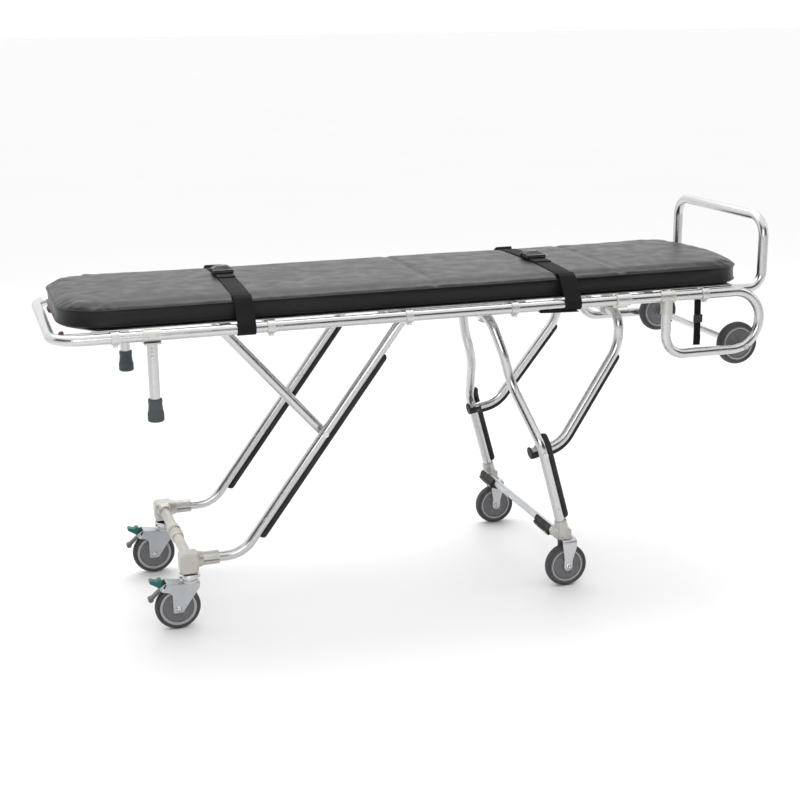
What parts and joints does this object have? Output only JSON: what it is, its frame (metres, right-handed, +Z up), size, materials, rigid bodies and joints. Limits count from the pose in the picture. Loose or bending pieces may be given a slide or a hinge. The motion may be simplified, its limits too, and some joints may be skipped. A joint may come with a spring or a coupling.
{
  "type": "ambulance cot",
  "caption": "Folding roll-in cot: tube frame with a vinyl pad, two folding wheeled leg sets, load wheels and a lifting hoop.",
  "frame": {"origin": "on the floor, under the middle of the cot's bounding box", "axes": "+X towards the head (loading) end, +Y to the cot's left, +Z up"},
  "size_m": [2.056, 0.618, 1.054],
  "materials": {
    "satin_tube": "satin drawn tube",
    "cast_grey": "tumbled casting",
    "sheet_alloy": "mill-finish sheet",
    "zinc_steel": "zinc-plated pressing",
    "screw_steel": "plated fastener",
    "hub_grey": "moulded nylon",
    "tyre_grey": "soft thermoplastic rubber tread",
    "guard_rubber": "extruded rubber",
    "tip_rubber": "moulded rubber",
    "pedal_green": "moulded nylon",
    "grip_red": "moulded grip",
    "pad_vinyl": "coated vinyl",
    "webbing": "woven nylon webbing",
    "buckle_plastic": "moulded acetal"
  },
  "bodies": {
    "frame": {"foot_end_tube": "satin_tube", "lift_hoop": "satin_tube", "load_loop_left": "satin_tube", "load_loop_right": "satin_tube", "side_rails": "satin_tube", "rail_collars": "cast_grey", "frame_screws": "screw_steel", "rail_tees": "cast_grey", "brace_saddles": "cast_grey", "post_sleeves": "cast_grey", "cross_bearers": "sheet_alloy", "deck_sheet": "sheet_alloy", "slide_tracks": "satin_tube", "frame_hangers": "cast_grey", "strut_shaft": "zinc_steel", "head_slide_guides": "cast_grey", "brace_bearings": "cast_grey", "load_axle": "satin_tube", "mattress": "pad_vinyl", "foot_strap": "webbing", "head_strap": "webbing", "strap_buckles": "buckle_plastic", "hanging_strap": "webbing", "pull_guides": "cast_grey"},
    "foot_strut_pair": {"foot_struts": "satin_tube"},
    "foot_leg_frame": {"foot_legs": "satin_tube", "foot_leg_guards": "guard_rubber", "foot_castings": "cast_grey", "foot_pivot_bolts": "screw_steel", "foot_cross_tube": "cast_grey"},
    "leg_slide_pair": {"leg_slide": "zinc_steel"},
    "head_leg_frame": {"head_leg_arch": "satin_tube", "head_castings": "cast_grey", "head_forks": "zinc_steel", "head_leg_guards": "guard_rubber", "head_pivot_bolts": "screw_steel", "head_cross_tube": "zinc_steel"},
    "head_brace_frame": {"head_brace": "satin_tube"},
    "caster_left": {"caster_fork_left": "zinc_steel"},
    "caster_wheel_left": {"caster_wheel_left_hub": "hub_grey", "caster_wheel_left_tyre": "tyre_grey"},
    "brake_left": {"brake_pedal_left": "pedal_green"},
    "head_wheel_left": {"head_wheel_left_hub": "hub_grey", "head_wheel_left_tyre": "tyre_grey"},
    "load_wheel_left": {"load_wheel_left_hub": "hub_grey", "load_wheel_left_tyre": "tyre_grey"},
    "post_left": {"foot_post_left": "satin_tube", "post_tip_left": "tip_rubber"},
    "pull_left": {"release_pull_left": "grip_red"},
    "caster_right": {"caster_fork_right": "zinc_steel"},
    "caster_wheel_right": {"caster_wheel_right_hub": "hub_grey", "caster_wheel_right_tyre": "tyre_grey"},
    "brake_right": {"brake_pedal_right": "pedal_green"},
    "head_wheel_right": {"head_wheel_right_hub": "hub_grey", "head_wheel_right_tyre": "tyre_grey"},
    "load_wheel_right": {"load_wheel_right_hub": "hub_grey", "load_wheel_right_tyre": "tyre_grey"},
    "post_right": {"foot_post_right": "satin_tube", "post_tip_right": "tip_rubber"},
    "pull_right": {"release_pull_right": "grip_red"}
  },
  "joints": [
    {"name": "foot_legs_fold", "type": "hinge", "parent": "frame", "child": "foot_strut_pair", "pos_m": [-0.575, 0, 0.824], "axis": [0, -1, 0], "range_deg": [0, 39.47]},
    {"name": "foot_leg_swing", "type": "hinge", "parent": "foot_strut_pair", "child": "foot_leg_frame", "pos_m": [-0.3034, 0, 0.5128], "axis": [0, -1, 0], "range_deg": [-82.8, 0]},
    {"name": "leg_slide_turn", "type": "hinge", "parent": "foot_leg_frame", "child": "leg_slide_pair", "pos_m": [-0.07, 0, 0.824], "axis": [0, -1, 0], "range_deg": [0, 43.33]},
    {"name": "head_legs_fold", "type": "hinge", "parent": "frame", "child": "head_brace_frame", "pos_m": [0.578, 0, 0.783], "axis": [0, 1, 0], "range_deg": [0, 44.48]},
    {"name": "head_leg_swing", "type": "hinge", "parent": "head_brace_frame", "child": "head_leg_frame", "pos_m": [0.3193, 0, 0.40724], "axis": [0, 1, 0], "range_deg": [-113.46, 0]},
    {"name": "caster_swivel_left", "type": "hinge", "parent": "foot_leg_frame", "child": "caster_left", "pos_m": [-0.691, 0.217, 0.15], "axis": [0, 0, 1], "continuous": true},
    {"name": "caster_roll_left", "type": "hinge", "parent": "caster_left", "child": "caster_wheel_left", "pos_m": [-0.727, 0.217, 0.0625], "axis": [0, 1, 0], "continuous": true},
    {"name": "brake_press_left", "type": "hinge", "parent": "caster_left", "child": "brake_left", "pos_m": [-0.766, 0.217, 0.122], "axis": [0, -1, 0], "range_deg": [0, 10]},
    {"name": "head_wheel_roll_left", "type": "hinge", "parent": "head_leg_frame", "child": "head_wheel_left", "pos_m": [0.397, 0.283, 0.0625], "axis": [0, 1, 0], "continuous": true},
    {"name": "load_wheel_roll_left", "type": "hinge", "parent": "frame", "child": "load_wheel_left", "pos_m": [0.948, 0.246, 0.6735], "axis": [0, 1, 0], "continuous": true},
    {"name": "post_drop_left", "type": "slide", "parent": "frame", "child": "post_left", "axis": [0, 0, -1], "range_m": [0, 0.02]},
    {"name": "release_pull_left", "type": "slide", "parent": "frame", "child": "pull_left", "axis": [-1, 0, 0], "range_m": [0, 0.008], "stiffness_N_per_m": 250},
    {"name": "caster_swivel_right", "type": "hinge", "parent": "foot_leg_frame", "child": "caster_right", "pos_m": [-0.691, -0.217, 0.15], "axis": [0, 0, 1], "continuous": true},
    {"name": "caster_roll_right", "type": "hinge", "parent": "caster_right", "child": "caster_wheel_right", "pos_m": [-0.727, -0.217, 0.0625], "axis": [0, 1, 0], "continuous": true},
    {"name": "brake_press_right", "type": "hinge", "parent": "caster_right", "child": "brake_right", "pos_m": [-0.766, -0.217, 0.122], "axis": [0, -1, 0], "range_deg": [0, 10]},
    {"name": "head_wheel_roll_right", "type": "hinge", "parent": "head_leg_frame", "child": "head_wheel_right", "pos_m": [0.397, -0.283, 0.0625], "axis": [0, 1, 0], "continuous": true},
    {"name": "load_wheel_roll_right", "type": "hinge", "parent": "frame", "child": "load_wheel_right", "pos_m": [0.948, -0.246, 0.6735], "axis": [0, 1, 0], "continuous": true},
    {"name": "post_drop_right", "type": "slide", "parent": "frame", "child": "post_right", "axis": [0, 0, -1], "range_m": [0, 0.02]},
    {"name": "release_pull_right", "type": "slide", "parent": "frame", "child": "pull_right", "axis": [-1, 0, 0], "range_m": [0, 0.008], "stiffness_N_per_m": 250}
  ],
  "couplings": [
    {"joint": "foot_leg_swing", "follows": "foot_legs_fold", "ratio": -2.0927},
    {"joint": "leg_slide_turn", "follows": "foot_legs_fold", "ratio": 1.0927},
    {"joint": "head_leg_swing", "follows": "head_legs_fold", "ratio": -2.5463}
  ]
}
